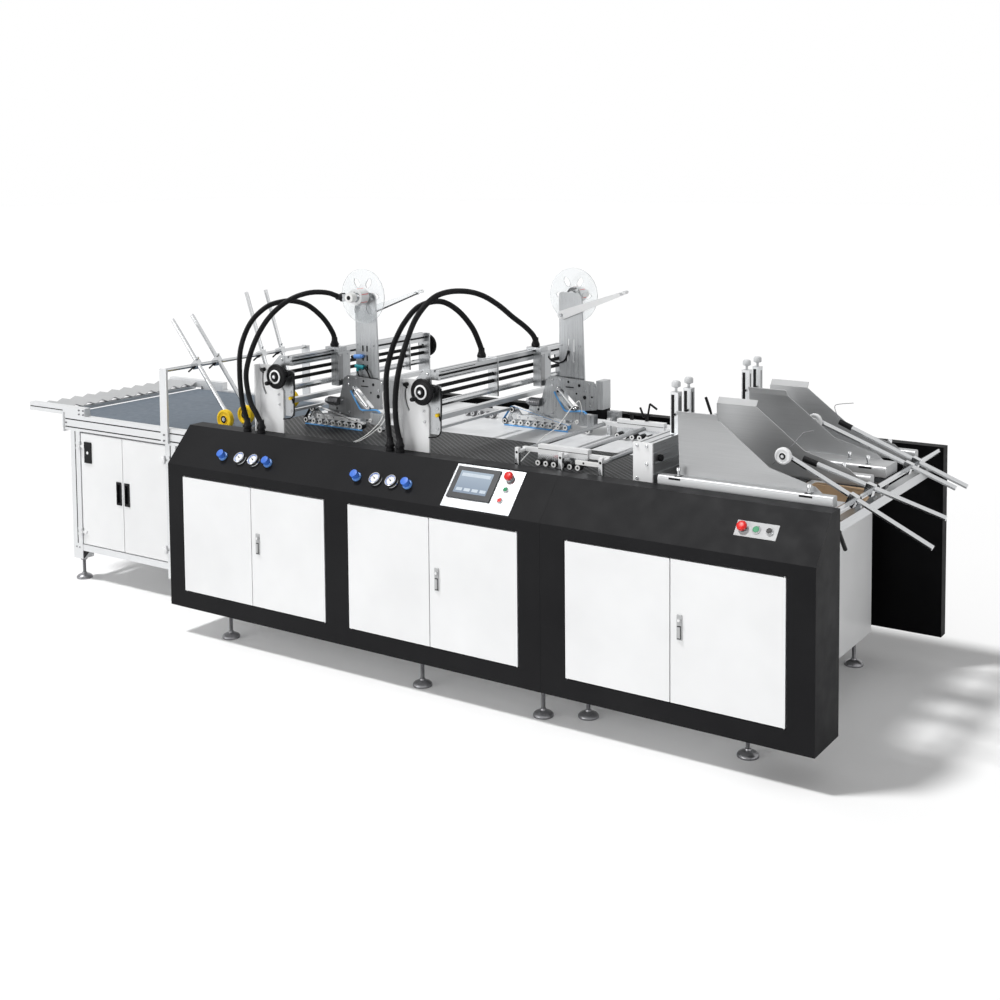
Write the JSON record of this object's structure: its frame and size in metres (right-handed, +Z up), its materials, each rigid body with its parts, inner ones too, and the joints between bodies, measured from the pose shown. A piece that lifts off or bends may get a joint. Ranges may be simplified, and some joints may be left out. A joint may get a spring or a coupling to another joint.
{
  "type": "tape applicator machine",
  "caption": "Floor-standing machine that lays adhesive tape on flat carton blanks: feeder with side guides, covered console with taping heads on gantries, and belt outfeed table.",
  "frame": {"origin": "under the middle front levelling foot of the console's left half, at floor level", "axes": "+X from the outfeed table towards the feeder, +Y from the operator's side to the rear, +Z up"},
  "size_m": [5.0567, 1.589, 1.772],
  "materials": {
    "black_sheet": "fine-textured black powder coat",
    "white_sheet": "smooth white powder coat",
    "steel": "brushed stainless and plated steel",
    "aluminium": "natural anodised profile",
    "belt": "blue-grey conveyor belt",
    "deck": "dark perforated sheet",
    "wheel_yellow": "yellow tyre",
    "belt_blue": "light blue press belt",
    "knob_blue": "blue regulator knobs",
    "clear": "clear acrylic reel",
    "black_plastic": "black moulded plastic",
    "conduit": "black corrugated conduit"
  },
  "bodies": {
    "machine": {"front_cover_left": "black_sheet", "front_cover_right": "black_sheet", "rear_cover": "black_sheet", "feed_conveyor": "black_sheet", "cabinet_left": "white_sheet", "cabinet_right": "white_sheet", "outfeed_cabinet": "white_sheet", "gantry_bracket_1": "white_sheet", "gantry_bracket_2": "white_sheet", "register_guide": "white_sheet", "hmi_panel": "steel", "control_panel": "steel", "outfeed_tray": "steel", "press_frame": "steel", "tape_head_1": "steel", "tape_head_2": "steel", "side_guide_1": "steel", "side_guide_2": "steel", "side_guide_3": "steel", "side_guide_4": "steel", "rod_support": "steel", "outfeed_frame": "aluminium", "gantry_frame_1": "aluminium", "gantry_frame_2": "aluminium", "infeed_crossbeam": "aluminium", "outfeed_belt": "belt", "deck_left": "deck", "deck_right": "deck", "press_belt_1": "belt_blue", "press_belt_2": "belt_blue", "air_unit_1": "knob_blue", "air_unit_2": "knob_blue", "conduit_1": "conduit", "conduit_2": "conduit", "conduit_3": "conduit", "conduit_4": "conduit"},
    "door_1_left": {"door_1_left": "white_sheet"},
    "door_1_right": {"door_1_right": "white_sheet"},
    "door_2_left": {"door_2_left": "white_sheet"},
    "door_2_right": {"door_2_right": "white_sheet"},
    "door_3_left": {"door_3_left": "white_sheet"},
    "door_3_right": {"door_3_right": "white_sheet"},
    "outfeed_door_left": {"outfeed_door_left": "white_sheet"},
    "outfeed_door_right": {"outfeed_door_right": "white_sheet"},
    "press_wheel_1": {"press_wheel_1": "wheel_yellow"},
    "press_wheel_2": {"press_wheel_2": "wheel_yellow"},
    "press_wheel_3": {"press_wheel_3": "wheel_yellow"},
    "press_wheel_4": {"press_wheel_4": "wheel_yellow"},
    "support_wheel_1": {"support_wheel_1": "white_sheet"},
    "support_wheel_2": {"support_wheel_2": "white_sheet"},
    "handwheel_1_front": {"handwheel_1_front": "black_plastic"},
    "handwheel_1_rear": {"handwheel_1_rear": "black_plastic"},
    "tape_reel_1": {"tape_reel_1": "clear"},
    "tension_arm_1": {"tension_arm_1": "steel"},
    "handwheel_2_front": {"handwheel_2_front": "black_plastic"},
    "handwheel_2_rear": {"handwheel_2_rear": "black_plastic"},
    "tape_reel_2": {"tape_reel_2": "clear"},
    "tension_arm_2": {"tension_arm_2": "steel"}
  },
  "joints": [
    {"name": "door_1_left_hinge", "type": "hinge", "parent": "machine", "child": "door_1_left", "pos_m": [-1.351, -0.094, 0.503], "axis": [0, 0, -1], "range_deg": [0, 95]},
    {"name": "door_1_right_hinge", "type": "hinge", "parent": "machine", "child": "door_1_right", "pos_m": [-0.473, -0.094, 0.503], "axis": [0, 0, 1], "range_deg": [0, 95]},
    {"name": "door_2_left_hinge", "type": "hinge", "parent": "machine", "child": "door_2_left", "pos_m": [-0.321, -0.094, 0.503], "axis": [0, 0, -1], "range_deg": [0, 95]},
    {"name": "door_2_right_hinge", "type": "hinge", "parent": "machine", "child": "door_2_right", "pos_m": [0.557, -0.094, 0.503], "axis": [0, 0, 1], "range_deg": [0, 95]},
    {"name": "door_3_left_hinge", "type": "hinge", "parent": "machine", "child": "door_3_left", "pos_m": [0.797, -0.094, 0.503], "axis": [0, 0, -1], "range_deg": [0, 95]},
    {"name": "door_3_right_hinge", "type": "hinge", "parent": "machine", "child": "door_3_right", "pos_m": [1.713, -0.094, 0.503], "axis": [0, 0, 1], "range_deg": [0, 95]},
    {"name": "outfeed_door_left_hinge", "type": "hinge", "parent": "machine", "child": "outfeed_door_left", "pos_m": [-2.5095, 0.23, 0.5], "axis": [0, 0, -1], "range_deg": [0, 95]},
    {"name": "outfeed_door_right_hinge", "type": "hinge", "parent": "machine", "child": "outfeed_door_right", "pos_m": [-1.8435, 0.23, 0.5], "axis": [0, 0, 1], "range_deg": [0, 95]},
    {"name": "press_wheel_1_spin", "type": "hinge", "parent": "machine", "child": "press_wheel_1", "pos_m": [-1.58961, 0.425, 0.9553], "axis": [0, 1, 0], "continuous": true},
    {"name": "press_wheel_2_spin", "type": "hinge", "parent": "machine", "child": "press_wheel_2", "pos_m": [-1.58961, 0.575, 0.9553], "axis": [0, 1, 0], "continuous": true},
    {"name": "press_wheel_3_spin", "type": "hinge", "parent": "machine", "child": "press_wheel_3", "pos_m": [-1.72031, 0.915, 0.9553], "axis": [0, 1, 0], "continuous": true},
    {"name": "press_wheel_4_spin", "type": "hinge", "parent": "machine", "child": "press_wheel_4", "pos_m": [-1.72031, 1.07, 0.9553], "axis": [0, 1, 0], "continuous": true},
    {"name": "support_wheel_1_spin", "type": "hinge", "parent": "machine", "child": "support_wheel_1", "pos_m": [1.55338, 0.272, 1.13943], "axis": [0, 1, 0], "continuous": true},
    {"name": "support_wheel_2_spin", "type": "hinge", "parent": "machine", "child": "support_wheel_2", "pos_m": [1.42211, 0.932, 1.15618], "axis": [0, 1, 0], "continuous": true},
    {"name": "handwheel_1_front_turn", "type": "hinge", "parent": "machine", "child": "handwheel_1_front", "pos_m": [-0.92, 0.088, 1.275], "axis": [0, 1, 0], "continuous": true},
    {"name": "handwheel_1_rear_turn", "type": "hinge", "parent": "machine", "child": "handwheel_1_rear", "pos_m": [-0.877, 1.24, 1.3], "axis": [0, 1, 0], "continuous": true},
    {"name": "tape_reel_1_spin", "type": "hinge", "parent": "machine", "child": "tape_reel_1", "pos_m": [-0.667, 0.4457, 1.64], "axis": [0, 1, 0], "continuous": true},
    {"name": "tension_arm_1_swing", "type": "hinge", "parent": "machine", "child": "tension_arm_1", "pos_m": [-0.712, 0.479, 1.545], "axis": [0, 1, 0], "range_deg": [-8, 10], "stiffness_Nm_per_rad": 6, "springref_deg": -4.01},
    {"name": "handwheel_2_front_turn", "type": "hinge", "parent": "machine", "child": "handwheel_2_front", "pos_m": [-0.058, 0.088, 1.275], "axis": [0, 1, 0], "continuous": true},
    {"name": "handwheel_2_rear_turn", "type": "hinge", "parent": "machine", "child": "handwheel_2_rear", "pos_m": [-0.015, 1.24, 1.3], "axis": [0, 1, 0], "continuous": true},
    {"name": "tape_reel_2_spin", "type": "hinge", "parent": "machine", "child": "tape_reel_2", "pos_m": [0.195, 0.9693, 1.64], "axis": [0, 1, 0], "continuous": true},
    {"name": "tension_arm_2_swing", "type": "hinge", "parent": "machine", "child": "tension_arm_2", "pos_m": [0.15, 0.936, 1.545], "axis": [0, 1, 0], "range_deg": [-8, 10], "stiffness_Nm_per_rad": 6, "springref_deg": -4.01}
  ]
}
